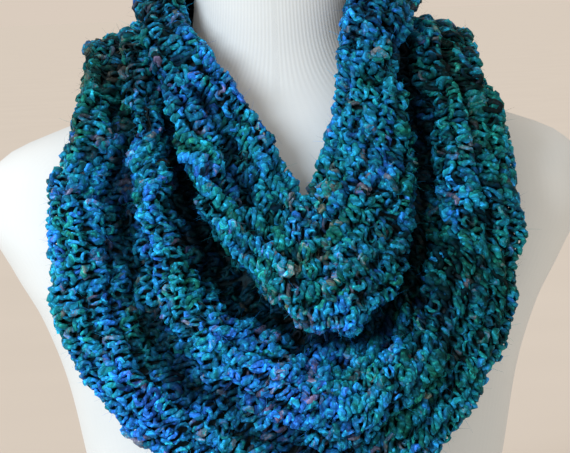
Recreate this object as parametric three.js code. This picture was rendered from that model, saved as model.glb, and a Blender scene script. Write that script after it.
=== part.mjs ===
// Infinity scarf in bulky knit, worn in two turns on a limbless dress form.
// Millimetres, +Z up. The wearer's front faces -Y, so the viewer's left is -X.
// Origin: centre of the dress form's flat base.
//
// Each turn of the scarf is one wall of cloth that runs right round the neck.
// It is drawn by sections that cross the cloth from its neck side to its outer
// side. A section's ends are an azimuth (0 at the front, plus to the viewer's
// right) and a height on the body that the cloth lies over, and its folds are
// heights off that body.

import * as THREE from 'three';

// Driving dimensions
const CLOTH_WALL = 5;
const FORM_HEIGHT = 505;
const EDGE_ROUNDING = 4;

const FORM_FACETS = 48;
const STATIONS_PER_ROW = 4;
const STEPS_PER_SPAN = 4;

const FINISH = {
  form: { color: 0xe9e6e2, roughness: 0.85, metalness: 0 },
  upperWrap: { color: 0x1f5f82, roughness: 0.95, metalness: 0 },
  lowerWrap: { color: 0x18586a, roughness: 0.95, metalness: 0 },
};

// A table's rows become objects with a name for each column.
function table(columns, rows) {
  const name = (row) => Object.fromEntries(columns.map((column, i) => [column, row[i]]));
  return rows.map(name);
}

// Level rings from the base up. An outline is a superellipse: squareness 2 is an
// ellipse, and more is squarer.
const RING_COLUMNS = ['height', 'halfWidth', 'halfDepth', 'centreY', 'squareness'];

// The dress form: waist, chest, shoulder caps and neck cap, with no limbs.
const FORM_RINGS = table(RING_COLUMNS, [
  [0, 128, 92, 0, 2.2],
  [60, 131, 99, -1, 2.2],
  [127, 145, 110, -3, 2.25],
  [185, 156, 116, -5, 2.3],
  [230, 172, 110, -3, 2.35],
  [262, 190, 102, 0, 2.35],
  [300, 207, 90, 3, 2.3],
  [328, 206, 79, 6, 2.2],
  [345, 190, 72, 8, 2.1],
  [358, 158, 68, 9, 2],
  [370, 124, 65, 9, 2],
  [384, 92, 62, 8, 2],
  [400, 71, 59, 6, 2],
  [418, 61, 57, 3, 2],
  [445, 57, 56, -2, 2],
  [FORM_HEIGHT, 56, 56, -8, 2],
]);

// The body that the cloth lies over: the form and a few millimetres, with the
// hollow between neck and shoulder bridged as thick cloth bridges it.
const LAY_RINGS = table(RING_COLUMNS, [
  [0, 130, 95, -1, 2.2],
  [60, 133, 102, -2, 2.2],
  [127, 147, 113, -4, 2.25],
  [185, 159, 119, -6, 2.3],
  [230, 175, 113, -4, 2.35],
  [262, 192, 105, -1, 2.35],
  [300, 209, 93, 2, 2.3],
  [330, 208, 83, 4, 2.2],
  [352, 189, 77, 5, 2.1],
  [368, 159, 73, 5, 2],
  [384, 128, 70, 4, 2],
  [402, 99, 67, 3, 2],
  [420, 80, 65, 1, 2],
  [440, 68, 62, -2, 2],
  [462, 62, 60, -4, 2],
  [490, 60, 60, -7, 2],
]);

// Upper turn, round the neck. The neck edge turns under by neckTuck. The cloth
// rises through slope and shoulder to its ridge, drops over its outer edge, and
// turns under by outerTuck to lie at underHeight on the lower turn.
const UPPER_COLUMNS = [
  'inAzimuth', 'inHeight', 'outAzimuth', 'outHeight',
  'neckTuck', 'neck', 'slope', 'shoulder', 'ridge', 'outer', 'outerTuck', 'underHeight',
];
const UPPER_SECTIONS = table(UPPER_COLUMNS, [
  [-180, 470, -180, 418, 10, 11, 28, 20, 36, 25, 14, 4],
  [-140, 470, -142, 418, 10, 11, 28, 20, 36, 25, 14, 4.6],
  [-104, 471, -110, 420, 10, 11, 28, 21, 36, 25, 14, 5],
  [-78, 465, -88, 422, 10, 11, 25, 24, 31, 23, 16, 5],
  [-60, 443, -68, 415, 10, 11, 19, 25, 27, 21, 17, 6],
  [-38, 414, -56, 390, 10, 11, 20, 20, 31, 23, 18, 6],
  [-19, 384, -46, 354, 10, 11, 23, 14, 37, 26, 18, 4.7],
  [-5, 354, -34, 302, 10, 11, 25, 12, 40, 28, 18, 4.6],
  [2, 331, -18, 262, 14, 14, 27, 22, 40, 29, 19, 4.7],
  [7, 314, -5, 234, 20, 18, 30, 35, 41, 30, 22, 5],
  [11, 315, 14, 218, 20, 18, 32, 38, 41, 30, 22, 5.5],
  [13, 330, 30, 232, 16, 16, 31, 37, 39, 29, 20, 5.5],
  [21.5, 359, 43, 288, 12, 13, 26, 34, 35, 25, 16, 5],
  [28, 396, 49, 341, 12, 13, 25, 32, 33, 23, 15, 5],
  [35, 434, 53, 390, 12, 13, 24, 28, 30, 21, 14, 4.5],
  [55, 461, 70, 414, 12, 12, 24, 24, 29, 21, 14, 4.6],
  [90, 470, 99, 419, 12, 11, 27, 21, 32, 23, 14, 5.5],
  [134, 470, 140, 418, 10, 11, 28, 20, 36, 25, 14, 5],
]);

// Lower turn, over the shoulders and chest. Its neck side lies flat from hidden
// millimetres under the upper turn to toe millimetres outside it. Beyond that the
// cloth makes an inner ridge, a valley and an outer ridge, and its outer edge
// turns under by outerTuck.
const LOWER_COLUMNS = [
  'inAzimuth', 'inHeight', 'outAzimuth', 'outHeight',
  'hidden', 'toe', 'innerRidge', 'valley', 'outerRidge', 'outer', 'outerTuck',
];
const LOWER_SECTIONS = table(LOWER_COLUMNS, [
  [-180, 414, -180, 348, 14, 0, 31, 20, 29, 16, 12],
  [-142, 417, -140, 352, 15, 0, 31, 20, 29, 16, 12],
  [-108, 420, -105, 382, 18, 0, 30, 18, 27, 15, 12],
  [-82, 422, -89, 384, 17, 1, 32, 17, 34, 15, 12],
  [-62, 410, -81, 384, 18, 3, 35, 14, 36, 17, 12],
  [-48, 368, -69, 354, 16, 6, 41, 4, 36, 17, 12],
  [-38, 325, -68, 318, 22, 10, 49, -7, 43, 18, 12],
  [-29, 289, -65, 276, 30, 11, 50, -8, 42, 18, 12],
  [-20, 256, -62.5, 230, 30, 10, 50, -3, 42, 18, 12],
  [-7, 233, -50, 173, 24, 8, 49, 3, 41, 18, 14],
  [8, 218, -27, 122, 18, 7, 47, 9, 39, 17, 16],
  [20, 214, 12, 105, 18, 5, 46, 13, 38, 17, 16],
  [32, 222, 37, 143, 18, 3, 43, 19, 37, 17, 14],
  [41, 262, 55, 200, 18, 2, 40, 26, 38, 17, 12],
  [48, 300, 62, 267, 16, 2, 40, 27, 38, 17, 12],
  [54, 352, 68, 335, 18, 3, 39, 26, 38, 17, 12],
  [64, 403, 75, 376, 26, 3, 35, 24, 38, 16, 12],
  [92, 419, 97, 381, 20, 0, 29, 18, 28, 14, 12],
  [136, 417, 140, 354, 15, 0, 31, 20, 29, 16, 12],
]);

// Smooth rise through a table's column: a cubic through each pair of rows, whose
// slopes never overshoot (harmonic mean of the two neighbours' slopes).
function columnAt(rings, column, height) {
  const run = (i) => rings[i + 1].height - rings[i].height;
  const slope = (i) => (rings[i + 1][column] - rings[i][column]) / run(i);
  const last = rings.length - 2;
  let i = 0;
  while (i < last && height > rings[i + 1].height) i += 1;
  const tangent = (k) => {
    if (k === 0) return slope(0);
    if (k > last) return slope(last);
    const before = slope(k - 1);
    const after = slope(k);
    if (before * after <= 0) return 0;
    const weightBefore = 2 * run(k) + run(k - 1);
    const weightAfter = run(k) + 2 * run(k - 1);
    return (weightBefore + weightAfter) / (weightBefore / before + weightAfter / after);
  };
  const t = Math.min(1, Math.max(0, (height - rings[i].height) / run(i)));
  const from = (2 * t ** 3 - 3 * t ** 2 + 1) * rings[i][column];
  const to = (3 * t ** 2 - 2 * t ** 3) * rings[i + 1][column];
  const leave = (t ** 3 - 2 * t ** 2 + t) * run(i) * tangent(i);
  const arrive = (t ** 3 - t ** 2) * run(i) * tangent(i + 1);
  return from + to + leave + arrive;
}

// Point on a ring in an azimuth's direction: the superellipse's radius there.
function ringPoint(rings, azimuth, height) {
  const squareness = columnAt(rings, 'squareness', height);
  const angle = THREE.MathUtils.degToRad(azimuth);
  const across = Math.abs(Math.sin(angle) / columnAt(rings, 'halfWidth', height)) ** squareness;
  const along = Math.abs(Math.cos(angle) / columnAt(rings, 'halfDepth', height)) ** squareness;
  const radius = (across + along) ** (-1 / squareness);
  const centreY = columnAt(rings, 'centreY', height);
  return new THREE.Vector3(radius * Math.sin(angle), centreY - radius * Math.cos(angle), height);
}

// Point on a ring at a share of its turn, which keeps the facets even where the
// ring is long and narrow.
function turnPoint(rings, share, height, inset) {
  const power = 2 / columnAt(rings, 'squareness', height);
  const angle = 2 * Math.PI * share;
  const swing = (value) => Math.sign(value) * Math.abs(value) ** power;
  const x = (columnAt(rings, 'halfWidth', height) - inset) * swing(Math.sin(angle));
  const y = (columnAt(rings, 'halfDepth', height) - inset) * swing(Math.cos(angle));
  return new THREE.Vector3(x, columnAt(rings, 'centreY', height) - y, height);
}

// Outward direction of the body under the cloth.
function layNormal(azimuth, height) {
  const right = ringPoint(LAY_RINGS, azimuth + 1, height).sub(ringPoint(LAY_RINGS, azimuth - 1, height));
  const up = ringPoint(LAY_RINGS, azimuth, height + 2).sub(ringPoint(LAY_RINGS, azimuth, height - 2));
  return right.cross(up).normalize();
}

// Row of a closed table at a place between its rows: a Catmull-Rom curve through
// them, with azimuths carried on past a full turn.
function sectionAt(sections, place) {
  const count = sections.length;
  const whole = Math.floor(place);
  const t = place - whole;
  const valueAt = (column, index) => {
    const turns = Math.floor(index / count);
    const carried = column === 'inAzimuth' || column === 'outAzimuth' ? 360 * turns : 0;
    return sections[index - turns * count][column] + carried;
  };
  const blend = (column) => {
    const [a, b, c, d] = [-1, 0, 1, 2].map((step) => valueAt(column, whole + step));
    const cubic = (3 * b - a - 3 * c + d) * t ** 3;
    const square = (2 * a - 5 * b + 4 * c - d) * t ** 2;
    return (2 * b + (c - a) * t + square + cubic) / 2;
  };
  return Object.fromEntries(Object.keys(sections[0]).map((column) => [column, blend(column)]));
}

// Flat width of a section on the body, from its neck side to its outer side.
function sectionWidth(row) {
  const inner = ringPoint(LAY_RINGS, row.inAzimuth, row.inHeight);
  return inner.distanceTo(ringPoint(LAY_RINGS, row.outAzimuth, row.outHeight));
}

// Points that draw a section: [share of the width, height off the body].
function upperOutline(row) {
  const width = sectionWidth(row);
  const neckTurn = 9;
  return [
    [row.neckTuck / width, row.neck - neckTurn],
    [0, row.neck],
    [0.25, row.slope],
    [0.55, row.shoulder],
    [0.82, row.ridge],
    [1, row.outer],
    [1 - row.outerTuck / width, row.underHeight],
  ];
}

function lowerOutline(row) {
  const width = sectionWidth(row);
  return [
    [-row.hidden / width, -0.5],
    [row.toe / width, 0.8],
    [0.28, row.innerRidge],
    [0.53, row.valley],
    [0.78, row.outerRidge],
    [1, row.outer],
    [1 - row.outerTuck / width, 3],
  ];
}

// Cubic B-spline drawn by points and meeting the first and last of them.
function splineAt(points, share) {
  const spans = points.length - 1;
  const place = Math.min(share * spans, spans - 1e-9);
  const i = Math.floor(place);
  const t = place - i;
  const at = (k) => {
    if (k < 0) return points[0].map((value, axis) => 2 * value - points[1][axis]);
    if (k > spans) return points[spans].map((value, axis) => 2 * value - points[spans - 1][axis]);
    return points[k];
  };
  const [a, b, c, d] = [i - 1, i, i + 1, i + 2].map(at);
  const near = 3 * t ** 3 - 6 * t ** 2 + 4;
  const far = -3 * t ** 3 + 3 * t ** 2 + 3 * t + 1;
  const leave = (1 - t) ** 3;
  const arrive = t ** 3;
  const blend = (value, axis) => leave * value + near * b[axis] + far * c[axis] + arrive * d[axis];
  return a.map((value, axis) => blend(value, axis) / 6);
}

// Middle of the cloth's wall at a place along the loop and a share across it.
function clothPoint(sections, outline, place, share) {
  const row = sectionAt(sections, place);
  const [across, lift] = splineAt(outline(row), share);
  const azimuth = row.inAzimuth + (row.outAzimuth - row.inAzimuth) * across;
  const height = row.inHeight + (row.outHeight - row.inHeight) * across;
  return ringPoint(LAY_RINGS, azimuth, height).addScaledVector(layNormal(azimuth, height), lift);
}

// Outward direction of the cloth itself.
function clothNormal(sections, outline, place, share) {
  const step = 0.004;
  const low = Math.max(0, share - step);
  const high = Math.min(1, share + step);
  const point = (p, s) => clothPoint(sections, outline, p, s);
  const along = point(place + step, share).sub(point(place - step, share));
  const across = point(place, high).sub(point(place, low));
  return across.cross(along).normalize();
}

// A grid of points, closed both ways, as one closed mesh with outward faces.
function closedBand(loops) {
  const rings = loops.length;
  const around = loops[0].length;
  const positions = loops.flat().flatMap((point) => point.toArray());
  const faces = [];
  for (let i = 0; i < rings; i += 1) {
    for (let j = 0; j < around; j += 1) {
      const a = i * around + j;
      const b = i * around + ((j + 1) % around);
      const c = ((i + 1) % rings) * around + j;
      const d = ((i + 1) % rings) * around + ((j + 1) % around);
      faces.push(a, b, c, b, d, c);
    }
  }
  const geometry = new THREE.BufferGeometry();
  geometry.setAttribute('position', new THREE.Float32BufferAttribute(positions, 3));
  geometry.setIndex(faces);
  geometry.computeVertexNormals();
  return geometry;
}

// One turn of cloth: at each station the outer face from neck to rim, and back
// along the inner face.
function clothTurn(sections, outline) {
  const stations = sections.length * STATIONS_PER_ROW;
  const points = outline(sections[0]).length;
  const steps = (points - 1) * STEPS_PER_SPAN;
  const loops = [];
  for (let i = 0; i < stations; i += 1) {
    const place = i / STATIONS_PER_ROW;
    const outer = [];
    const inner = [];
    for (let j = 0; j <= steps; j += 1) {
      const middle = clothPoint(sections, outline, place, j / steps);
      const normal = clothNormal(sections, outline, place, j / steps);
      outer.push(middle.clone().addScaledVector(normal, CLOTH_WALL / 2));
      inner.push(middle.clone().addScaledVector(normal, -CLOTH_WALL / 2));
    }
    loops.push([...outer, ...inner.reverse()]);
  }
  return closedBand(loops);
}

// The dress form: level rings, two to each row of its table, with rounded rims, a
// flat base and a flat neck cap.
function dressForm() {
  const rings = [{ height: 0, inset: EDGE_ROUNDING }, { height: EDGE_ROUNDING, inset: 0 }];
  for (let i = 1; i < FORM_RINGS.length; i += 1) {
    const below = FORM_RINGS[i - 1].height;
    const { height } = FORM_RINGS[i];
    rings.push({ height: (below + height) / 2, inset: 0 });
    rings.push({ height: i < FORM_RINGS.length - 1 ? height : height - EDGE_ROUNDING, inset: 0 });
  }
  rings.push({ height: FORM_HEIGHT, inset: EDGE_ROUNDING });
  const positions = [];
  for (const { height, inset } of rings) {
    for (let j = 0; j < FORM_FACETS; j += 1) {
      positions.push(...turnPoint(FORM_RINGS, j / FORM_FACETS, height, inset).toArray());
    }
  }
  const faces = [];
  const last = (rings.length - 1) * FORM_FACETS;
  for (let i = 0; i < rings.length - 1; i += 1) {
    for (let j = 0; j < FORM_FACETS; j += 1) {
      const a = i * FORM_FACETS + j;
      const b = i * FORM_FACETS + ((j + 1) % FORM_FACETS);
      faces.push(a, b, a + FORM_FACETS, b, b + FORM_FACETS, a + FORM_FACETS);
    }
  }
  for (let j = 1; j < FORM_FACETS - 1; j += 1) {
    faces.push(0, j + 1, j);
    faces.push(last, last + j, last + j + 1);
  }
  const geometry = new THREE.BufferGeometry();
  geometry.setAttribute('position', new THREE.Float32BufferAttribute(positions, 3));
  geometry.setIndex(faces);
  geometry.computeVertexNormals();
  return geometry;
}

function solid(name, geometry, finish) {
  const mesh = new THREE.Mesh(geometry, new THREE.MeshStandardMaterial(finish));
  mesh.name = name;
  return mesh;
}

const scarfOnForm = new THREE.Group();
scarfOnForm.name = 'scarf_on_form';
scarfOnForm.add(
  solid('dress_form', dressForm(), FINISH.form),
  solid('upper_wrap', clothTurn(UPPER_SECTIONS, upperOutline), FINISH.upperWrap),
  solid('lower_wrap', clothTurn(LOWER_SECTIONS, lowerOutline), FINISH.lowerWrap),
);

export default scarfOnForm;
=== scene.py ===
# %% [markdown]
# # A bulky infinity scarf, doubled round a dress form
# The scarf is one hand-knitted strip of thick-and-thin yarn whose ends are joined.
# It hangs in two turns round a smooth white form with no limbs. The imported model
# gives the size and place of each turn. This lesson rebuilds the turns row by row in
# real yarn, because a knit this coarse is seen as separate strands, not as a weave.

# %% Load the frame
import math

import bpy
import numpy as np
from mathutils import Matrix, Vector


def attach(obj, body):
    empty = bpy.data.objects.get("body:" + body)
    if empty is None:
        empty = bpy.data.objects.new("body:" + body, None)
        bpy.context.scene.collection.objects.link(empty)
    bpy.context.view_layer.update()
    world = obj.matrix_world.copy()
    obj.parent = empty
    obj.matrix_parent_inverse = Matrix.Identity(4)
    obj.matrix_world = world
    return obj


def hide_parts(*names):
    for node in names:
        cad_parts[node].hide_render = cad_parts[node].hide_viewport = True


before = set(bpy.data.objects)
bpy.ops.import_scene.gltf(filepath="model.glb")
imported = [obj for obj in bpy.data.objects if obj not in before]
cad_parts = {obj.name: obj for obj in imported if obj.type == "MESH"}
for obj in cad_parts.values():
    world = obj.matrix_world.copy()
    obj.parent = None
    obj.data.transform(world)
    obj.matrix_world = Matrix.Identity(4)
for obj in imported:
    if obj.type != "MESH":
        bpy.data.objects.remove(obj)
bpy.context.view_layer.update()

MM = 0.001
print("frame holds", sorted(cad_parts))

# %% [markdown]
# ## Camera
# The photograph looks at the chest from straight in front and a little above, with a
# long lens. A pixel covers 0.69 mm at the scarf, so the lens follows from the width
# that the picture shows. The small roll gives the shoulders the slope that they have.

# %% Camera
PICTURE_WIDTH, PICTURE_HEIGHT = 570, 453
MM_PER_PIXEL = 0.69
CAMERA_DISTANCE = 1.7
CAMERA_ELEVATION = math.radians(5.0)
CAMERA_ROLL = math.radians(2.5)
CAMERA_TARGET = Vector((-1.0, -20.0, 287.0)) * MM
SENSOR_WIDTH = 36.0

camera_data = bpy.data.cameras.new("camera")
camera_data.sensor_fit = "HORIZONTAL"
camera_data.sensor_width = SENSOR_WIDTH
shown_width = PICTURE_WIDTH * MM_PER_PIXEL * MM
camera_data.lens = SENSOR_WIDTH * CAMERA_DISTANCE / shown_width
camera = bpy.data.objects.new("camera", camera_data)
bpy.context.scene.collection.objects.link(camera)
backward = Vector((0.0, -math.cos(CAMERA_ELEVATION), math.sin(CAMERA_ELEVATION)))
right = Vector((1.0, 0.0, 0.0))
upward = backward.cross(right)
turned = Matrix((right, upward, backward)).transposed() @ Matrix.Rotation(-CAMERA_ROLL, 3, "Z")
camera.matrix_world = Matrix.Translation(CAMERA_TARGET + backward * CAMERA_DISTANCE) @ turned.to_4x4()
bpy.context.scene.camera = camera
print("lens", round(camera_data.lens, 1), "mm")


# %% [markdown]
# ## Shader maths as expressions
# A material's pattern is easier to read as a formula than as a chain of nodes. The
# class below wraps a socket, and each operator adds one Math node. Everything that is
# not plain arithmetic on numbers goes through `node`.

# %% Shader helpers
class Wire:
    """One output socket. An operator on it adds the Math node that does the sum."""

    def __init__(self, tree, socket):
        self.tree, self.socket = tree, socket

    def math(self, operation, *others):
        return node(self.tree, "ShaderNodeMath", {"operation": operation}, self, *others)

    def __add__(self, other):
        return self.math("ADD", other)

    def __radd__(self, other):
        return self.math("ADD", other)

    def __sub__(self, other):
        return self.math("SUBTRACT", other)

    def __rsub__(self, other):
        return (self * -1.0) + other

    def __mul__(self, other):
        return self.math("MULTIPLY", other)

    def __rmul__(self, other):
        return self.math("MULTIPLY", other)

    def sine(self):
        return self.math("SINE")

    def beside(self, output):
        """Another output of the same node."""
        return Wire(self.tree, self.socket.node.outputs[output])

    def between(self, low, high):
        """0 below low, 1 above high, and a smooth rise from one to the other."""
        settings = {"interpolation_type": "SMOOTHSTEP"}
        return node(self.tree, "ShaderNodeMapRange", settings, self, low, high, 0.0, 1.0)


def plug(tree, socket, value):
    if isinstance(value, Wire):
        tree.links.new(value.socket, socket)
    elif value is not None:
        socket.default_value = value


def node(tree, kind, settings, *inputs, output=0, **named):
    """Adds a node, sets its settings, then its sockets, and returns one output."""
    made = tree.nodes.new(kind)
    for name, value in settings.items():
        if name == "stops":
            ramp = made.color_ramp
            while len(ramp.elements) < len(value):
                ramp.elements.new(0.5)
            for element, (place, colour) in zip(ramp.elements, value):
                element.position = place
                element.color = colour
        else:
            setattr(made, name, value)
    for socket, value in zip(made.inputs, inputs):
        plug(tree, socket, value)
    for name, value in named.items():
        plug(tree, made.inputs[name], value)
    return Wire(tree, made.outputs[output])


def mix_colour(tree, share, first, second, blend="MIX"):
    """The Mix node holds sockets for numbers and vectors between share and colours."""
    other_kinds = [None] * 5
    settings = {"data_type": "RGBA", "blend_type": blend}
    return node(tree, "ShaderNodeMix", settings, share, *other_kinds, first, second, output=2)


def stretch(tree, vector, scale):
    return node(tree, "ShaderNodeVectorMath", {"operation": "MULTIPLY"}, vector, scale)


def noise(tree, vector, scale, detail=2.0, roughness=0.5):
    return node(tree, "ShaderNodeTexNoise", {}, Vector=vector, Scale=scale,
                Detail=detail, Roughness=roughness)


def shader(name, **constants):
    """A new material and its tree. Constants go on the shader's own sockets."""
    material = bpy.data.materials.new(name)
    material.use_nodes = True
    principled = material.node_tree.nodes["Principled BSDF"]
    for socket, value in constants.items():
        principled.inputs[socket.replace("_", " ")].default_value = value
    return material, material.node_tree, principled


def linear(red, green, blue):
    """A screen colour from 0 to 255, as the linear light that shaders take."""
    def channel(value):
        value /= 255.0
        return value / 12.92 if value <= 0.04045 else ((value + 0.055) / 1.055) ** 2.4
    return (channel(red), channel(green), channel(blue), 1.0)


# %% [markdown]
# ## The body that the cloth lies over
# Cloth follows whatever it rests on, so the first surface is the form itself: level
# rings, each a superellipse, from the waist to the neck. A second set of rings is the
# body that the thick knit lies over, a few millimetres out, which bridges the hollow
# between neck and shoulder as the cloth does.

# %% Rings
RING_COLUMNS = ("height", "half_width", "half_depth", "centre_y", "squareness")
NECK_TOP = 505

FORM_RINGS = np.array([
    (0, 128, 92, 0, 2.2),
    (60, 131, 99, -1, 2.2),
    (127, 145, 110, -3, 2.25),
    (185, 156, 116, -5, 2.3),
    (230, 172, 110, -3, 2.35),
    (262, 190, 102, 0, 2.35),
    (300, 207, 90, 3, 2.3),
    (328, 206, 79, 6, 2.2),
    (345, 190, 72, 8, 2.1),
    (358, 158, 68, 9, 2),
    (370, 124, 65, 9, 2),
    (384, 92, 62, 8, 2),
    (400, 71, 59, 6, 2),
    (418, 61, 57, 3, 2),
    (445, 57, 56, -2, 2),
    (NECK_TOP, 56, 56, -8, 2),
], float)

LAY_RINGS = np.array([
    (0, 130, 95, -1, 2.2),
    (60, 133, 102, -2, 2.2),
    (127, 147, 113, -4, 2.25),
    (185, 159, 119, -6, 2.3),
    (230, 175, 113, -4, 2.35),
    (262, 192, 105, -1, 2.35),
    (300, 209, 93, 2, 2.3),
    (330, 208, 83, 4, 2.2),
    (352, 189, 77, 5, 2.1),
    (368, 159, 73, 5, 2),
    (384, 128, 70, 4, 2),
    (402, 99, 67, 3, 2),
    (420, 80, 65, 1, 2),
    (440, 68, 62, -2, 2),
    (462, 62, 60, -4, 2),
    (490, 60, 60, -7, 2),
], float)


def ring_value(rings, column, height):
    """A column at any height: cubics between the rows, whose slope at a row is the
    weighted harmonic mean of its two neighbours' slopes, so nothing overshoots."""
    levels, values = rings[:, 0], rings[:, RING_COLUMNS.index(column)]
    run = np.diff(levels)
    slope = np.diff(values) / run
    tangent = np.zeros(len(levels))
    tangent[0], tangent[-1] = slope[0], slope[-1]
    same_way = slope[1:] * slope[:-1] > 0
    before, after = 2 * run[1:] + run[:-1], run[1:] + 2 * run[:-1]
    safe = np.where(same_way, slope[:-1], 1.0), np.where(same_way, slope[1:], 1.0)
    tangent[1:-1] = np.where(same_way, (before + after) / (before / safe[0] + after / safe[1]), 0.0)
    i = np.clip(np.searchsorted(levels, height, side="right") - 1, 0, len(run) - 1)
    t = np.clip((height - levels[i]) / run[i], 0.0, 1.0)
    ends = (2 * t**3 - 3 * t**2 + 1) * values[i] + (3 * t**2 - 2 * t**3) * values[i + 1]
    return ends + run[i] * ((t**3 - 2 * t**2 + t) * tangent[i] + (t**3 - t**2) * tangent[i + 1])


def ring_point(rings, azimuth, height):
    """Point in an azimuth's direction. The radius r solves |r sin a / half width|^n +
    |r cos a / half depth|^n = 1, with azimuth 0 at the front."""
    angle = np.radians(azimuth)
    power = ring_value(rings, "squareness", height)
    across = np.abs(np.sin(angle) / ring_value(rings, "half_width", height)) ** power
    along = np.abs(np.cos(angle) / ring_value(rings, "half_depth", height)) ** power
    radius = (across + along) ** (-1.0 / power)
    y = ring_value(rings, "centre_y", height) - radius * np.cos(angle)
    return np.stack([radius * np.sin(angle), y, height + 0.0 * radius], -1)


def unit(vectors):
    return vectors / np.maximum(np.linalg.norm(vectors, axis=-1, keepdims=True), 1e-9)


def lay_point(azimuth, height, lift):
    """Point at a lift above the body: its ring point plus the outward normal, which is
    the cross product of a step round the body and a step up it."""
    step_round = ring_point(LAY_RINGS, azimuth + 1, height) - ring_point(LAY_RINGS, azimuth - 1, height)
    step_up = ring_point(LAY_RINGS, azimuth, height + 2) - ring_point(LAY_RINGS, azimuth, height - 2)
    normal = unit(np.cross(step_round, step_up))
    return ring_point(LAY_RINGS, azimuth, height) + normal * lift[..., None]


# %% [markdown]
# ## The two turns of cloth
# A folded strip is drawn best by sections that cross it, because every fold runs
# along the strip and shows as a bump in each section. A row below gives where a
# section starts and ends on the body, and how high each fold stands off it. A smooth
# closed curve joins the rows, so the strip runs right round the neck. Under the swag
# at the right, the lower turn's hidden flap reaches a little further than in the
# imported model, so that the form doesn't show past its end.

# %% Sections of the cloth
STATIONS, STEPS = 720, 220
UPPER_SHARES = 0.25, 0.55, 0.82
LOWER_SHARES = 0.28, 0.53, 0.78
NECK_ROLL = 9
FLAP_LIFT, TOE_LIFT, LOWER_TUCK_LIFT = -0.5, 0.8, 3

UPPER_COLUMNS = ("in_azimuth", "in_height", "out_azimuth", "out_height",
                 "neck_tuck", "neck", "slope", "shoulder", "ridge", "outer", "outer_tuck", "under")
UPPER_ROWS = np.array([
    (-180, 470, -180, 418, 10, 11, 28, 20, 36, 25, 14, 4),
    (-140, 470, -142, 418, 10, 11, 28, 20, 36, 25, 14, 4.6),
    (-104, 471, -110, 420, 10, 11, 28, 21, 36, 25, 14, 5),
    (-78, 465, -88, 422, 10, 11, 25, 24, 31, 23, 16, 5),
    (-60, 443, -68, 415, 10, 11, 19, 25, 27, 21, 17, 6),
    (-38, 414, -56, 390, 10, 11, 20, 20, 31, 23, 18, 6),
    (-19, 384, -46, 354, 10, 11, 23, 14, 37, 26, 18, 4.7),
    (-5, 354, -34, 302, 10, 11, 25, 12, 40, 28, 18, 4.6),
    (2, 331, -18, 262, 14, 14, 27, 22, 40, 29, 19, 4.7),
    (7, 314, -5, 234, 20, 18, 30, 35, 41, 30, 22, 5),
    (11, 315, 14, 218, 20, 18, 32, 38, 41, 30, 22, 5.5),
    (13, 330, 30, 232, 16, 16, 31, 37, 39, 29, 20, 5.5),
    (21.5, 359, 43, 288, 12, 13, 26, 34, 35, 25, 16, 5),
    (28, 396, 49, 341, 12, 13, 25, 32, 33, 23, 15, 5),
    (35, 434, 53, 390, 12, 13, 24, 28, 30, 21, 14, 4.5),
    (55, 461, 70, 414, 12, 12, 24, 24, 29, 21, 14, 4.6),
    (90, 470, 99, 419, 12, 11, 27, 21, 32, 23, 14, 5.5),
    (134, 470, 140, 418, 10, 11, 28, 20, 36, 25, 14, 5),
], float)

LOWER_COLUMNS = ("in_azimuth", "in_height", "out_azimuth", "out_height",
                 "hidden", "toe", "inner_ridge", "valley", "outer_ridge", "outer", "outer_tuck")
LOWER_ROWS = np.array([
    (-180, 414, -180, 348, 14, 0, 31, 20, 29, 16, 12),
    (-142, 417, -140, 352, 15, 0, 31, 20, 29, 16, 12),
    (-108, 420, -105, 382, 18, 0, 30, 18, 27, 15, 12),
    (-82, 422, -89, 384, 17, 1, 32, 17, 34, 15, 12),
    (-62, 410, -81, 384, 18, 3, 35, 14, 36, 17, 12),
    (-48, 368, -69, 354, 16, 6, 41, 4, 36, 17, 12),
    (-38, 325, -68, 318, 22, 10, 49, -7, 43, 18, 12),
    (-29, 289, -65, 276, 30, 11, 50, -8, 42, 18, 12),
    (-20, 256, -62.5, 230, 30, 10, 50, -3, 42, 18, 12),
    (-7, 233, -50, 173, 24, 8, 49, 3, 41, 18, 14),
    (8, 218, -27, 122, 18, 7, 47, 9, 39, 17, 16),
    (20, 214, 12, 105, 26, 5, 46, 13, 38, 17, 16),
    (32, 222, 37, 143, 30, 3, 43, 19, 37, 17, 14),
    (41, 262, 55, 200, 24, 2, 40, 26, 38, 17, 12),
    (48, 300, 62, 267, 16, 2, 40, 27, 38, 17, 12),
    (54, 352, 68, 335, 18, 3, 39, 26, 38, 17, 12),
    (64, 403, 75, 376, 26, 3, 35, 24, 38, 16, 12),
    (92, 419, 97, 381, 20, 0, 29, 18, 28, 14, 12),
    (136, 417, 140, 354, 15, 0, 31, 20, 29, 16, 12),
], float)


def around(rows, count, carried=()):
    """A closed Catmull-Rom curve through the rows, at count even places. Columns in
    carried grow by a full turn each time round."""
    total = len(rows)
    place = np.arange(count) / count * total
    whole = np.floor(place).astype(int)
    t = (place - whole)[:, None]
    turn = np.zeros(rows.shape[1])
    turn[list(carried)] = 360.0
    a, b, c, d = (rows[(whole + k) % total] + turn * np.floor_divide(whole + k, total)[:, None]
                  for k in (-1, 0, 1, 2))
    square = (2 * a - 5 * b + 4 * c - d) * t**2
    return 0.5 * (2 * b + (c - a) * t + square + (3 * b - a - 3 * c + d) * t**3)


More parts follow.
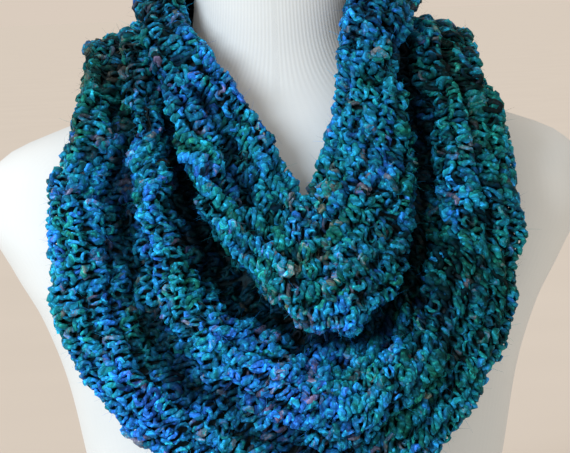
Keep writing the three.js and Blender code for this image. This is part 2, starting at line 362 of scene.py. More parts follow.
def b_spline(points, share):
    """Uniform cubic B-spline of each row of points, meeting the first and the last:
    at a place between two points, the four nearest are weighted by cubics."""
    spans = points.shape[1] - 1
    first, last = 2 * points[:, :1] - points[:, 1:2], 2 * points[:, -1:] - points[:, -2:-1]
    padded = np.concatenate([first, points, last], 1)
    i = np.clip(np.floor(share * spans).astype(int), 0, spans - 1)
    t = (share * spans - i)[None, :, None]
    near, far = 3 * t**3 - 6 * t**2 + 4, -3 * t**3 + 3 * t**2 + 3 * t + 1
    ends = (1 - t) ** 3 * padded[:, i] + t**3 * padded[:, i + 3]
    return (ends + near * padded[:, i + 1] + far * padded[:, i + 2]) / 6


def upper_outline(row, width):
    """The section's points as [share of the width, lift], from the tucked neck edge."""
    none = 0.0 * width
    slope, shoulder, ridge = (none + share for share in UPPER_SHARES)
    shares = (row["neck_tuck"] / width, none, slope, shoulder, ridge, none + 1,
              1 - row["outer_tuck"] / width)
    lifts = (row["neck"] - NECK_ROLL, row["neck"], row["slope"], row["shoulder"], row["ridge"],
             row["outer"], row["under"])
    return np.stack([np.stack(shares, 1), np.stack(lifts, 1)], 2)


def lower_outline(row, width):
    """The same from the flat flap under the upper turn to the tucked outer edge."""
    none = 0.0 * width
    inner_ridge, valley, outer_ridge = (none + share for share in LOWER_SHARES)
    shares = (-row["hidden"] / width, row["toe"] / width, inner_ridge, valley, outer_ridge,
              none + 1, 1 - row["outer_tuck"] / width)
    lifts = (none + FLAP_LIFT, none + TOE_LIFT, row["inner_ridge"], row["valley"],
             row["outer_ridge"], row["outer"], none + LOWER_TUCK_LIFT)
    return np.stack([np.stack(shares, 1), np.stack(lifts, 1)], 2)


def station_rows(rows, columns):
    return dict(zip(columns, around(rows, STATIONS, carried=(0, 2)).T))


def cloth_grid(row, outline):
    """Middle of the cloth at even stations round the neck and even steps across it,
    and its lift above the body."""
    inner = ring_point(LAY_RINGS, row["in_azimuth"], row["in_height"])
    outer = ring_point(LAY_RINGS, row["out_azimuth"], row["out_height"])
    width = np.linalg.norm(outer - inner, axis=1)
    drawn = b_spline(outline(row, width), np.linspace(0, 1, STEPS))
    share, lift = drawn[..., 0], drawn[..., 1]
    azimuth = row["in_azimuth"][:, None] + (row["out_azimuth"] - row["in_azimuth"])[:, None] * share
    height = row["in_height"][:, None] + (row["out_height"] - row["in_height"])[:, None] * share
    return lay_point(azimuth, height, lift), lift


def grid_normals(grid):
    """Outward normals of a grid that is closed round the neck."""
    along = np.roll(grid, -1, 0) - np.roll(grid, 1, 0)
    return unit(np.cross(np.gradient(grid, axis=1), along))


# %% [markdown]
# ## Creases
# Between the big folds a heavy knit is never smooth: it dimples and sags where its
# own weight pulls it. A few waves of different lengths, laid over the cloth in its
# own directions, give that unevenness. Whole numbers of waves round the neck keep
# the turn closed.

# %% Creases
CREASE_HEIGHT = 1.5
CREASE_FADE = 25
CREASE_WAVES = (  # waves round the neck, length across in mm, share of the height
    (7, 90, 1.0), (-11, 60, 0.9), (19, 47, 0.7), (-27, 38, 0.6), (38, 80, 0.45))


def creased(grid, seed):
    """Moves the cloth along its normals by a sum of sines of (waves x turn + depth /
    length), each with its own phase. The hidden ends stay where they are."""
    rng = np.random.default_rng(seed)
    depth = np.cumsum(np.linalg.norm(np.diff(grid, axis=1, prepend=grid[:, :1]), axis=2), 1)
    turn = 2 * np.pi * np.arange(len(grid))[:, None] / len(grid)
    lift = 0.0 * depth
    for waves, length, size in CREASE_WAVES:
        lift += size * np.sin(waves * turn + 2 * np.pi * depth / length + rng.uniform(0, 2 * np.pi))
    full = depth[:, -1:]
    fade = np.clip(depth / CREASE_FADE, 0, 1) * np.clip((full - depth) / CREASE_FADE, 0, 1)
    return grid + grid_normals(grid) * (CREASE_HEIGHT * lift * fade)[..., None]


upper_stations = station_rows(UPPER_ROWS, UPPER_COLUMNS)
lower_stations = station_rows(LOWER_ROWS, LOWER_COLUMNS)
upper_smooth, upper_lift = cloth_grid(upper_stations, upper_outline)
lower_smooth, lower_lift = cloth_grid(lower_stations, lower_outline)
upper_grid = creased(upper_smooth, seed=3)
lower_grid = creased(lower_smooth, seed=8)
upper_steps = np.linalg.norm(np.roll(upper_grid, -1, 0) - upper_grid, axis=2)
print("upper turn round", round(float(upper_steps.sum(0).mean())), "mm")


# %% [markdown]
# ## From arrays to meshes
# numpy works out all the points at once, and `foreach_set` hands them to Blender in
# one call. Faces come as quads, and each piece gets its material and its body in the
# same step.

# %% Mesh helpers
def make_piece(name, points, quads, material, slot=None, caps=()):
    """A mesh object from points in millimetres, quads, and a few many-sided caps."""
    mesh = bpy.data.meshes.new(name)
    sizes = np.concatenate([np.full(len(quads), 4), [len(cap) for cap in caps]]).astype(np.int32)
    corners = np.concatenate([quads.ravel(), *caps]).astype(np.int32)
    mesh.vertices.add(len(points))
    mesh.vertices.foreach_set("co", (points * MM).astype(np.float32).ravel())
    mesh.loops.add(len(corners))
    mesh.loops.foreach_set("vertex_index", corners)
    mesh.polygons.add(len(sizes))
    starts = np.concatenate([[0], np.cumsum(sizes)[:-1]]).astype(np.int32)
    mesh.polygons.foreach_set("loop_start", starts)
    mesh.polygons.foreach_set("use_smooth", np.ones(len(sizes), bool))
    mesh.update(calc_edges=True)
    mesh.validate()
    mesh.materials.append(material)
    piece = bpy.data.objects.new(name, mesh)
    bpy.context.scene.collection.objects.link(piece)
    if slot:
        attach(piece, "root")
    triangles = int((sizes - 2).sum())
    print(name, triangles, "triangles")
    return piece


def point_attribute(piece, name, kind, values):
    field = {"FLOAT": "value", "FLOAT_VECTOR": "vector", "FLOAT_COLOR": "color"}[kind]
    layer = piece.data.attributes.new(name, kind, "POINT")
    layer.data.foreach_set(field, np.ascontiguousarray(values, np.float32).ravel())


def closed_quads(rings, sides, ring_closed=True):
    """Quads of a grid whose rings close on themselves, and that may close end to end."""
    last = rings if ring_closed else rings - 1
    i = np.arange(last)[:, None]
    j = np.arange(sides)[None]
    a, b = i * sides + j, i * sides + (j + 1) % sides
    c, d = (i + 1) % rings * sides + (j + 1) % sides, (i + 1) % rings * sides + j
    return np.stack([a, b, c, d], -1).reshape(-1, 4)


# %% [markdown]
# ## Cloth under the yarn
# Seen between its strands, a knit is dark: light that gets in seldom comes out. A
# thin closed shell a little inside the cloth's middle stands for that shaded depth
# and carries the creases. Where the cloth lies flat on the body the shell rises to
# the middle, so that it stays clear of the form. The rows of yarn are pieces on it.

# %% Base cloth
SHELL_THICKNESS = 1.0
SHELL_RISE, SINK_LEAST, SINK_MOST = 0.6, 0.3, 4.6
SHELL_SKIP_ROUND, SHELL_SKIP_ACROSS = 4, 5


def base_material():
    """Near-black teal, with a coarse grain so that no flat patch shows."""
    material, tree, principled = shader("shaded_knit", Roughness=1.0, Specular_IOR_Level=0.1)
    place = node(tree, "ShaderNodeTexCoord", {}, output=3)
    grain = noise(tree, place, 260.0, detail=3.0)
    tone = mix_colour(tree, grain.between(0.35, 0.7), linear(26, 32, 36), linear(30, 54, 64))
    plug(tree, principled.inputs["Base Color"], tone)
    bump = node(tree, "ShaderNodeBump", {}, Strength=0.6, Distance=0.002, Height=grain)
    plug(tree, principled.inputs["Normal"], bump)
    return material


def shell_piece(name, grid, lift, material, slot):
    """Outer face out, inner face back, closed round the edges and round the neck."""
    thin = grid[::SHELL_SKIP_ROUND, ::SHELL_SKIP_ACROSS]
    normal = grid_normals(grid)[::SHELL_SKIP_ROUND, ::SHELL_SKIP_ACROSS]
    sink = np.clip(lift + SHELL_RISE, SINK_LEAST, SINK_MOST)
    sink = sink[::SHELL_SKIP_ROUND, ::SHELL_SKIP_ACROSS, None]
    inner = thin - normal * (sink + SHELL_THICKNESS)
    loops = np.concatenate([thin - normal * sink, inner[:, ::-1]], 1)
    rings, sides = loops.shape[:2]
    return make_piece(name, loops.reshape(-1, 3), closed_quads(rings, sides), material, slot)


shaded_knit = base_material()
upper_cloth = shell_piece("upper_cloth", upper_grid, upper_lift, shaded_knit, "upper_knit")
lower_cloth = shell_piece("lower_cloth", lower_grid, lower_lift, shaded_knit, "lower_knit")
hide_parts("upper_wrap")
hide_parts("lower_wrap")


# %% [markdown]
# ## A map of the cloth in real millimetres
# Stitches keep their size wherever they lie, so the yarn needs the cloth measured by
# depth from its knitted edge. Each station's points are laid out again at every
# millimetre of depth, with a little extra past the edge for the loops that stand out
# there. The hidden end is simply where a station's length runs out.

# %% Cloth map
EDGE_EXTRA = 6.0
VALLEY_REACHES = (6, 12, 18)
# Painted shade at tucked ends and in valleys, and painted light on ridges, all worked into the yarn's
# colour through the cloth map's lit value.
SHADE_LEAST, SHADE_PER_TOE_SQUARED = 1.0, 0.24
VALLEY_TOE, VALLEY_LEAST, VALLEY_MOST = 8.0, 0.35, 0.96
UPPER_TOE = 8.0
SHADE_STARTS_UNDER = -8.0
VALLEY_STARTS, VALLEY_FULL = 0.1, 3.6
RIDGE_FULL, RIDGE_BOOST = 4, 0.32


def ease(value, low, high):
    t = np.clip((value - low) / (high - low), 0, 1)
    return t * t * (3 - 2 * t)


class ClothMap:
    """Points and normals of a turn by place round the neck and depth from its edge."""

    def __init__(self, grid, from_outer_edge, tucked, toe):
        """For each station, tucked is how much of the far end lies under other cloth,
        and toe the flat stretch beside it, which is long where the folds are deep."""
        normal = grid_normals(grid)
        self.tucked, self.shaded = tucked, SHADE_LEAST + SHADE_PER_TOE_SQUARED * toe**2
        self.closed = np.clip(toe / VALLEY_TOE, VALLEY_LEAST, VALLEY_MOST)
        if from_outer_edge:
            grid, normal = grid[:, ::-1], normal[:, ::-1]
        step = np.linalg.norm(np.diff(grid, axis=1), axis=2)
        depth = np.concatenate([np.zeros((len(grid), 1)), np.cumsum(step, 1)], 1)
        self.length = depth[:, -1]
        self.depths = np.arange(-EDGE_EXTRA, self.length.max() + 2, 1.0)
        self.points = np.stack([self._lay(d, g) for d, g in zip(depth, grid)])
        self.normals = unit(np.stack([self._lay(d, n) for d, n in zip(depth, normal)]))
        self.valley = self._valley()

    def _lay(self, depth, values):
        inside = np.stack([np.interp(self.depths, depth, values[:, k]) for k in range(3)], 1)
        edge_slope = (values[3] - values[0]) / (depth[3] - depth[0])
        past = np.minimum(self.depths, 0)[:, None]
        return inside + past * edge_slope * (np.abs(values[0]).max() > 2)

    def _valley(self):
        """How far each point lies under the mean of its neighbours across the fold."""
        last = self.points.shape[1] - 1
        j = np.arange(last + 1)
        mean = 0.0
        for reach in VALLEY_REACHES:
            for side in (-reach, reach):
                mean = mean + self.points[:, np.clip(j + side, 0, last)]
        return ((mean / (2 * len(VALLEY_REACHES)) - self.points) * self.normals).sum(2)

    def at(self, place, depth):
        """Point and normal, what is left of the cloth, and how lit it is, from 0 at
        the tucked end or deep in a valley to 1 on a ridge, all bilinear. That lit value
        is painted shade and painted light in the yarn's colour."""
        count = len(self.points)
        i = np.floor(place).astype(int)
        u = (place - i)[:, None]
        x = np.clip(depth + EDGE_EXTRA, 0, len(self.depths) - 1.001)
        j = np.floor(x).astype(int)
        v = (x - j)[:, None]
        i0, i1 = i % count, (i + 1) % count

        def mixed(field):
            near = field[i0, j] * (1 - v) + field[i0, j + 1] * v
            return near * (1 - u) + (field[i1, j] * (1 - v) + field[i1, j + 1] * v) * u
        reach = self.length[i0] * (1 - u[:, 0]) + self.length[i1] * u[:, 0]
        left = reach - depth
        lit = ease(left - self.tucked[i0], SHADE_STARTS_UNDER, self.shaded[i0])
        valley = mixed(self.valley[..., None])[:, 0]
        in_valley = self.closed[i0] * ease(valley, VALLEY_STARTS, VALLEY_FULL)
        lit *= (1 - in_valley) * (1 + RIDGE_BOOST * ease(-valley, 0, RIDGE_FULL))
        return mixed(self.points), unit(mixed(self.normals)), left, lit


upper_map = ClothMap(upper_grid, from_outer_edge=False, tucked=upper_stations["outer_tuck"],
                     toe=UPPER_TOE + 0 * upper_stations["outer_tuck"])
lower_map = ClothMap(lower_grid, from_outer_edge=True, toe=lower_stations["toe"],
                     tucked=lower_stations["hidden"] + lower_stations["toe"])
for name, cloth in (("upper", upper_map), ("lower", lower_map)):
    print(name, "cloth across", cloth.length.min().round(), "to", cloth.length.max().round(), "mm")


# %% [markdown]
# ## Colours of the yarn
# The yarn is dyed in stretches, so a stitch is greener or bluer than the next, and
# whole patches of the scarf lean one way. Three numbers ride on each point of the
# yarn: its hue from green to royal blue, its shade, and how brown it is. The shade is
# the dye's own darkness with painted shade and painted light added. Zones are broad
# leanings of the dye and of that painted shade, by where they lie on the front.

# %% Dye zones
ZONE_COLUMNS = ("x", "z", "reach", "hue", "shade", "brown")
# The shade column darkens or lightens the yarn's colour. In the second valley and crease zones it is
# painted shade, and under the swag it is painted light.
ZONES = {
    "left_shoulder": (-128, 392, 42, -0.26, -0.32, 0.20),
    "left_side": (-142, 275, 62, 0.02, 0.08, 0.0),
    "left_second_fold": (-104, 315, 50, 0.12, 0.14, 0.0),
    "neck_band": (-52, 392, 42, 0.16, 0.0, 0.0),
    "swag": (18, 272, 50, -0.14, -0.02, 0.18),
    "neck_panel_top": (62, 425, 40, 0.18, -0.18, 0.06),
    "neck_left_top": (-93, 432, 32, -0.04, -0.28, 0.10),
    "left_side_top": (-128, 340, 26, -0.04, -0.14, 0.05),
    "second_valley_top": (-68, 312, 14, 0.0, -0.40, 0.0),
    "second_valley": (-52, 284, 14, 0.0, -0.36, 0.0),
    "neck_panel_low": (66, 288, 24, 0.0, -0.16, 0.0),
    "crease_low": (87, 258, 20, 0.0, -0.28, 0.0),
    "crease_end": (80, 216, 22, 0.0, -0.26, 0.0),
    "right_panel": (112, 258, 32, 0.0, -0.20, 0.0),
    "under_swag": (52, 216, 16, 0.05, 0.34, 0.0),
    "neck_panel": (66, 335, 45, 0.06, -0.02, 0.0),
    "right_shoulder": (122, 395, 50, -0.30, -0.34, 0.0),
    "right_side": (150, 295, 60, -0.14, -0.22, 0.0),
    "right_low": (122, 190, 60, -0.10, -0.10, 0.0),
    "front_low": (5, 130, 62, 0.15, 0.0, 0.14),
    "left_low": (-105, 165, 58, 0.18, 0.12, 0.0),
    "front_fold": (0, 205, 52, 0.12, 0.12, 0.08),
}
HUE_MIDDLE, HUE_BY_STRETCH, HUE_BY_STITCH = 0.48, 0.13, 0.09
SHADE_MIDDLE, SHADE_BY_STITCH = 0.53, 0.21
BROWN_BY_STITCH, BROWN_HELD_BACK = 0.26, 0.14
PLY_HUE, PLY_SHADE, PLY_BROWN = 0.14, 0.14, 0.10
# Painted shade: the yarn's colour darkens the lower a point lies in the knit.
OPEN_AIR_FROM, OPEN_AIR_FULL = -2.3, 2.5
FRONT_FADE = 60


def dye_and_shade_leaning(points):
    """Sum of the zones' leanings of dye and painted shade, each fading as a bell with distance on the
    front.
    """
    leaning = np.zeros((len(points), 3))
    front = np.clip(0.5 - points[:, 1] / FRONT_FADE, 0, 1)
    for zone in ZONES.values():
        x, z, reach, *shift = zone
        near = np.exp(-((points[:, 0] - x) ** 2 + (points[:, 2] - z) ** 2) / reach**2)
        leaning += (front * near)[:, None] * np.array(shift)
    return leaning


# %% [markdown]
# ## Rows of yarn
# A knitted row is one strand that swings up into the row above and down into its own
# stitch, and leans over itself at each end of the swing. Three sines draw it: one
# wave across the row for each stitch, and two waves along and out of the cloth. The
# strand itself is two plies twisted together, spun thick and thin.

# %% Yarn rows
FIRST_ROW = 2.0
ROW_PITCH = 7.0
STITCH_PITCH = 9.4
RINGS_PER_STITCH = 14
YARN_SIDES = 8
SWING = 4.9
LEAN = 1.5
SLANT = 1.7
RISE = 1.8
YARN_LIFT = -1.0
PLY_TWIST = 11.0
PLY_DEPTH = 0.24
HIDDEN_MARGIN = 3.0
TILT = 0.5
FULL_CIRCLE = 6.28
SIZE_WANDER, SLANT_MIDDLE = 0.2, 0.4
ALONG_WANDER, ACROSS_WANDER, LIFT_WANDER = (0.9, 0.6), (0.8, 0.6), (0.8, 0.6)
RADIUS_LEAST, RADIUS_SWELL = 1.12, 1.2
SWELL_MIDDLE, SWELL_SLOW, SWELL_FAST, SWELL_MOST = 0.5, 0.3, 0.4, 1.3


def wander(count, knots, rng, width=1):
    """Smooth closed random curve: a Catmull-Rom through normal random knots."""
    return around(rng.normal(size=(max(4, knots), width)), count)


def yarn_row(cloth, depth, index, rng, scale):
    """Centre line of a row: depth + swing x cos(turn), along + lean x sin(2 turn) and
    lift + rise x cos(2 turn), where turn grows by a full circle for each stitch."""
    ring = np.arange(len(cloth.points), dtype=float)
    base = cloth.at(ring, np.full(len(ring), depth))[0]
    run = np.concatenate([[0], np.cumsum(np.linalg.norm(np.diff(base, axis=0, append=base[:1]), axis=1))])
    stitches = int(round(run[-1] / (STITCH_PITCH * scale)))
    count = stitches * RINGS_PER_STITCH
    turn = 2 * np.pi * np.arange(count) / RINGS_PER_STITCH + rng.uniform(0, 2 * np.pi)
    slow, fast = wander(count, stitches, rng, 5), wander(count, stitches * 3, rng, 3)
    size = 1 + SIZE_WANDER * slow[:, 0]
    side = 1 if index % 2 else -1
    slant = SLANT * (SLANT_MIDDLE + slow[:, 4])
    along = np.arange(count) / count * run[-1] + LEAN * size * np.sin(2 * turn) + slant * np.cos(turn)
    along += ALONG_WANDER[0] * slow[:, 1] + ALONG_WANDER[1] * fast[:, 0]
    place = np.interp(along % run[-1], run, np.arange(len(run), dtype=float))
    across = depth + SWING * scale * size * np.cos(turn)
    across = across + ACROSS_WANDER[0] * slow[:, 2] + ACROSS_WANDER[1] * fast[:, 1]
    bump = side * RISE * np.cos(2 * turn) + TILT * side * np.cos(turn)
    point, normal, left, lit = cloth.at(place, across)
    lift = YARN_LIFT + bump + LIFT_WANDER[0] * slow[:, 3] + LIFT_WANDER[1] * fast[:, 2]
    return point + normal * lift[:, None], normal, left, lit, lift


def yarn_radius(count, stitches, rng):
    """Thick-and-thin spinning: a fine strand that swells into slubs here and there."""
    slow, fast = wander(count, stitches // 3, rng)[:, 0], wander(count, stitches * 2, rng)[:, 0]
    swell = np.clip(SWELL_MIDDLE + SWELL_SLOW * slow + SWELL_FAST * fast, 0, SWELL_MOST)
    return RADIUS_LEAST + RADIUS_SWELL * swell


def yarn_tube(centre, normal, radius, phase):
    """Two-ply tube: radius x (1 + depth x cos(2 angle + twist)) about the centre line,
    in the frame of its tangent and the cloth's normal."""
    tangent = unit(np.roll(centre, -1, 0) - np.roll(centre, 1, 0))
    side = unit(np.cross(normal, tangent))
    up = np.cross(tangent, side)
    length = np.cumsum(np.linalg.norm(centre - np.roll(centre, 1, 0), axis=1))
    angle = 2 * np.pi * np.arange(YARN_SIDES) / YARN_SIDES
    twist = (2 * np.pi * length / PLY_TWIST + phase)[:, None]
    shape = radius[:, None] * (1 + PLY_DEPTH * np.cos(2 * angle + 2 * twist))
    offset = np.cos(angle)[:, None] * side[:, None] + np.sin(angle)[:, None] * up[:, None]
    return centre[:, None] + shape[..., None] * offset, angle + twist, length, shape * np.sin(angle)


def keep_runs(shown, sides):
    """Quads between neighbouring rings that both show, and a cap on each cut end."""
    both = shown & np.roll(shown, -1)
    quads = closed_quads(len(shown), sides)[np.repeat(both, sides)]
    ring = np.arange(sides)
    ends = np.flatnonzero(both & ~np.roll(both, 1))
    stops = (np.flatnonzero(both & ~np.roll(both, -1)) + 1) % len(shown)
    caps = [ring[::-1] + start * sides for start in ends] + [ring + stop * sides for stop in stops]
    return quads, caps


def knit(cloth, seed, scale):
    """All rows of a turn, as lists of points, quads, caps and their two attributes."""
    rng = np.random.default_rng(seed)
    rows, grown = [], []
    depths = np.arange(FIRST_ROW, cloth.length.max() - HIDDEN_MARGIN, ROW_PITCH * scale)
    for index, depth in enumerate(depths):
        centre, normal, left, lit, lift = yarn_row(cloth, depth, index, rng, scale)
        stitches = len(centre) // RINGS_PER_STITCH
        radius = yarn_radius(len(centre), stitches, rng)
        points, ply, length, above = yarn_tube(centre, normal, radius, rng.uniform(0, FULL_CIRCLE))
        quads, caps = keep_runs(left > HIDDEN_MARGIN, YARN_SIDES)
        if not len(quads):
            continue
        dye = dye_and_shade_leaning(centre)
        stretches = wander(len(centre), stitches // 3, rng)
        bumps = wander(len(centre), stitches * 2, rng, 3)
        dye[:, 0] += HUE_MIDDLE + HUE_BY_STRETCH * stretches[:, 0] + HUE_BY_STITCH * bumps[:, 0]
        dye[:, 1] += SHADE_MIDDLE + SHADE_BY_STITCH * bumps[:, 1]
        dye[:, 2] += BROWN_BY_STITCH * bumps[:, 2] - BROWN_HELD_BACK
        dye = np.repeat(dye[:, None], YARN_SIDES, 1)
        dye[..., 0] += PLY_HUE * np.cos(ply)
        dye[..., 1] += PLY_SHADE * np.sin(ply)
        dye[..., 2] += PLY_BROWN * np.sin(ply)
        # Painted shade in the open air value, the alpha of the yarn's colour attribute: dark low in the
        # knit, and as dark as the cloth map says at tucked ends and in valleys.
        open_air_shade = ease(lift[:, None] + above, OPEN_AIR_FROM, OPEN_AIR_FULL) * lit[:, None]
        colour = np.concatenate([np.clip(dye, 0, 1), open_air_shade[..., None]], 2)
        strand = np.stack([np.cos(ply), np.sin(ply), np.repeat(length[:, None] / 10, YARN_SIDES, 1)], 2)
        rows.append((points.reshape(-1, 3), quads, caps, colour.reshape(-1, 4), strand.reshape(-1, 3)))
        grown.append(np.concatenate([centre, normal, dye[:, 0], lit[:, None]], 1)[left > HIDDEN_MARGIN])
    print(len(rows), "rows")
    return rows, np.concatenate(grown)


# %% [markdown]
# ## What the yarn is made of
# The yarn is a soft blend with a little lustre, and a fine halo softens its edge.
# Brushed fibres catching the light along the strand are painted highlights in the
# base colour, and the base colour also carries painted shade between the plies, low
# in the knit and in the folds. The hue number picks a colour from a ramp, streaks
# run with the twist of each ply, and the same streaks raise the bump.

# %% Yarn material
HUE_STOPS = ((0.0, linear(28, 124, 110)), (0.24, linear(26, 142, 148)), (0.46, linear(30, 150, 192)),
             (0.68, linear(36, 146, 224)), (0.86, linear(38, 122, 230)), (1.0, linear(44, 106, 208)))
TWEED, TWEED_SHARE = linear(132, 106, 92), 0.7
SHEEN_TINT = linear(150, 215, 255)
FLECK_HUE = 0.7
TWEED_BY_FLECK, TWEED_BY_FIBRE, TWEED_FROM, TWEED_FULL = 0.7, 0.9, 0.24, 0.50
GROOVE_DARK, GROOVE_RISE = 0.42, 0.8
SHADE_GAIN, SHADE_FLOOR = 1.6, 0.04
HIGHLIGHT_GAIN, HIGHLIGHT_FLOOR, GLINT = 0.66, 0.76, 0.36
FIBRE_GAIN, FIBRE_FLOOR = 1.0, 0.6
OPEN_GAIN, OPEN_FLOOR = 0.94, 0.06
YARN_ROUGHNESS, GLOSS_SMOOTHS = 0.62, 0.15
STREAK_BUMP, FIBRE_BUMP = 0.6, 0.4


def yarn_material():
    """Base colour = hue ramp, browned by tweed, x shade x gloss x fibre x open air x
    groove, each a gain on its pattern plus a floor. Gloss and glint are painted
    highlights, open air and groove are painted shade, and shade is the dye's darkness
    with painted shade and painted light in it."""
    material, tree, principled = shader("variegated_yarn", Specular_IOR_Level=0.14)
    principled.inputs["Specular Tint"].default_value = SHEEN_TINT
    dye = node(tree, "ShaderNodeAttribute", {"attribute_name": "dye"})
    open_air_shade = dye.beside("Alpha")
    hue = node(tree, "ShaderNodeSeparateColor", {}, dye)
    shade, brown = hue.beside(1), hue.beside(2)
    strand = node(tree, "ShaderNodeAttribute", {"attribute_name": "strand"}, output=1)
    streak = noise(tree, stretch(tree, strand, (1.5, 1.5, 1.5)), 1.0, detail=2.0, roughness=0.6)
    fibre = noise(tree, stretch(tree, strand, (4.0, 4.0, 1.6)), 1.0, detail=1.0)
    fleck = noise(tree, stretch(tree, strand, (0.7, 0.7, 1.5)), 1.0, detail=1.0)
    body = node(tree, "ShaderNodeValToRGB", {"stops": HUE_STOPS}, hue + (fleck - 0.5) * FLECK_HUE)
    tweed = brown + (fleck - 0.5) * TWEED_BY_FLECK + (fibre - 0.5) * TWEED_BY_FIBRE
    tweed = tweed.between(TWEED_FROM, TWEED_FULL)
    body = mix_colour(tree, tweed * TWEED_SHARE, body, TWEED)
    # Painted highlights: the brighter streaks lift the base colour, and gloss also lowers the roughness.
    gloss_and_highlight = streak.between(0.42, 0.62)
    glint = streak.between(0.52, 0.78) * GLINT
    across_ply = node(tree, "ShaderNodeSeparateXYZ", {}, strand)
    # Painted shade between the plies: the base colour darkens in the grooves.
    groove_shade = across_ply * across_ply * GROOVE_RISE + GROOVE_DARK
    light = (shade * SHADE_GAIN + SHADE_FLOOR) * (gloss_and_highlight * HIGHLIGHT_GAIN + HIGHLIGHT_FLOOR + glint)
    light = light * (fibre * FIBRE_GAIN + FIBRE_FLOOR) * (open_air_shade * OPEN_GAIN + OPEN_FLOOR) * groove_shade
    light = node(tree, "ShaderNodeCombineXYZ", {}, light, light, light)
    plug(tree, principled.inputs["Base Color"], mix_colour(tree, 1.0, body, light, "MULTIPLY"))
    plug(tree, principled.inputs["Roughness"], gloss_and_highlight * -GLOSS_SMOOTHS + YARN_ROUGHNESS)
    relief = streak * STREAK_BUMP + fibre * FIBRE_BUMP
    bump = node(tree, "ShaderNodeBump", {}, Strength=0.35, Distance=0.0008, Height=relief)
    plug(tree, principled.inputs["Normal"], bump)
    return material


variegated_yarn = yarn_material()

# %% [markdown]
# ## Lay the rows on the cloth
# Each turn's rows are shared out between a few pieces, so that none is too heavy to
# handle. The upper turn starts at its neck edge, and the lower turn at its outer
# edge, because those are the knitted edges that show.

# %% Yarn pieces
PIECE_TRIANGLES = 180000


def yarn_pieces(name, rows, slot):
    """Packs whole rows into pieces under the limit of triangles."""
    pieces, batch, total = [], [], 0
    for row in rows + [None]:
        if row is None or total + 2 * len(row[1]) > PIECE_TRIANGLES:
            start = np.cumsum([0] + [len(r[0]) for r in batch])
            points = np.concatenate([r[0] for r in batch])
            quads = np.concatenate([r[1] + s for r, s in zip(batch, start)])
            caps = [cap + s for r, s in zip(batch, start) for cap in r[2]]
            used = np.zeros(len(points), bool)
            used[quads.ravel()] = True
            renumber = np.cumsum(used) - 1
            piece = make_piece(f"{name}_{len(pieces) + 1}", points[used], renumber[quads],
                               variegated_yarn, slot, [renumber[cap] for cap in caps])
            point_attribute(piece, "dye", "FLOAT_COLOR", np.concatenate([r[3] for r in batch])[used])
            point_attribute(piece, "strand", "FLOAT_VECTOR", np.concatenate([r[4] for r in batch])[used])
            pieces.append(piece)
            batch, total = [], 0
        if row is not None:
            batch.append(row)
            total += 2 * len(row[1])
    return pieces


upper_rows, upper_roots = knit(upper_map, seed=21, scale=1.06)
lower_rows, lower_roots = knit(lower_map, seed=22, scale=1.12)
upper_yarn = yarn_pieces("upper_yarn", upper_rows, "upper_knit")
lower_yarn = yarn_pieces("lower_yarn", lower_rows, "lower_knit")

# %% [markdown]
# ## Stray fibres
# Brushed yarn sheds a halo of single fibres that stand a few millimetres off it. They
# soften the scarf's outline and cross its dark valleys. Each one is a fine tapering
# curl with its root inside a strand.

# %% Stray fibres
FIBRE_SIDES, FIBRE_RINGS = 3, 4
FIBRE_RADIUS = 0.11
UPPER_FIBRES, LOWER_FIBRES = 2900, 4900
FIBRE_REACH = 3.5, 6.5
FIBRE_SPREAD, FIBRE_TAPER, FIBRE_LIT = 1.3, 0.75, 0.8


def fibre_piece(name, roots, count, seed, slot):
    """Curls root + length x (t x heading + t^2 x bend), for t from 0 to 1."""
    rng = np.random.default_rng(seed)
    root = roots[rng.integers(0, len(roots), count)]
    normal = root[:, 3:6]
    loose, bend = unit(rng.normal(size=(2, count, 3)))
    heading = unit(normal + FIBRE_SPREAD * loose)
    side = unit(np.cross(heading, bend))
    up = np.cross(side, heading)
    reach = rng.uniform(*FIBRE_REACH, count)[:, None, None]
    t = np.linspace(0, 1, FIBRE_RINGS)[None, :, None]
    line = root[:, None, :3] + reach * (t * heading[:, None] + t**2 * bend[:, None])
    angle = 2 * np.pi * np.arange(FIBRE_SIDES) / FIBRE_SIDES
    spread = np.cos(angle)[:, None] * side[:, None] + np.sin(angle)[:, None] * up[:, None]
    taper = FIBRE_RADIUS * (1 - FIBRE_TAPER * t)[..., None]
    points = line[:, :, None] + taper * spread[:, None]
    block = FIBRE_SIDES * FIBRE_RINGS
    start = np.arange(count)[:, None, None] * block
    quads = (closed_quads(FIBRE_RINGS, FIBRE_SIDES, ring_closed=False)[None] + start).reshape(-1, 4)
    ring = np.arange(FIBRE_SIDES)
    ends = ring[::-1], ring + block - FIBRE_SIDES
    caps = [end + place for place in range(0, count * block, block) for end in ends]
    piece = make_piece(name, points.reshape(-1, 3), quads, variegated_yarn, slot, caps)
    # Each fibre takes the painted shade of its root, a little darker.
    colour = np.concatenate([root[:, 6:9], root[:, 9:10] * FIBRE_LIT], 1)
    point_attribute(piece, "dye", "FLOAT_COLOR", np.repeat(np.clip(colour, 0, 1), block, 0))
    strand = np.stack([np.ones(count), rng.uniform(-1, 1, count), rng.uniform(0, 50, count)], 1)
    point_attribute(piece, "strand", "FLOAT_VECTOR", np.repeat(strand, block, 0))
    return piece


upper_yarn.append(fibre_piece("upper_fibres", upper_roots, UPPER_FIBRES, 31, "upper_knit"))
lower_yarn.append(fibre_piece("lower_fibres", lower_roots, LOWER_FIBRES, 32, "lower_knit"))

# %% [markdown]
# Each turn is a sheet whose size is measured on its own middle, hidden tucks and all:
# the mean way across by the mean way round. The yarn lies on it.

# %% Sheets
def flat_size(grid):
    across = np.linalg.norm(np.diff(grid, axis=1), axis=2).sum(1).mean() * MM
    round_neck = np.linalg.norm(np.roll(grid, -1, 0) - grid, axis=2).sum(0).mean() * MM
    return round(float(across), 3), round(float(round_neck), 3)


